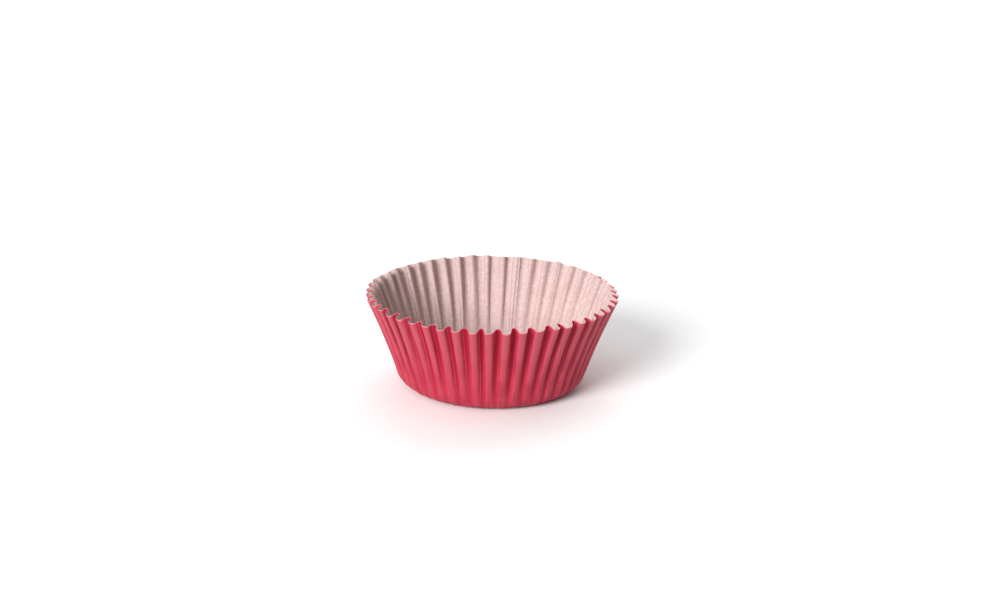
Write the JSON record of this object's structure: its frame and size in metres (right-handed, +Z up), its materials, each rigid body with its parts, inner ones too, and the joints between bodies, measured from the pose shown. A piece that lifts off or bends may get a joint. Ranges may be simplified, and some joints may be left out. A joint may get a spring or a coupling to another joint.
{
  "type": "paper baking cup",
  "caption": "Fluted baking cup of thin red paper, with a round flat base, a rounded corner and a flared wall of narrow flutes that ends in a wavy rim.",
  "frame": {"origin": "centre of the underside of the flat base", "axes": "+Z up along the cup's axis, out of its open mouth"},
  "size_m": [0.071, 0.071, 0.027],
  "materials": {
    "red_paper": "satin"
  },
  "bodies": {
    "root": {"baking_cup": "red_paper"}
  },
  "joints": []
}
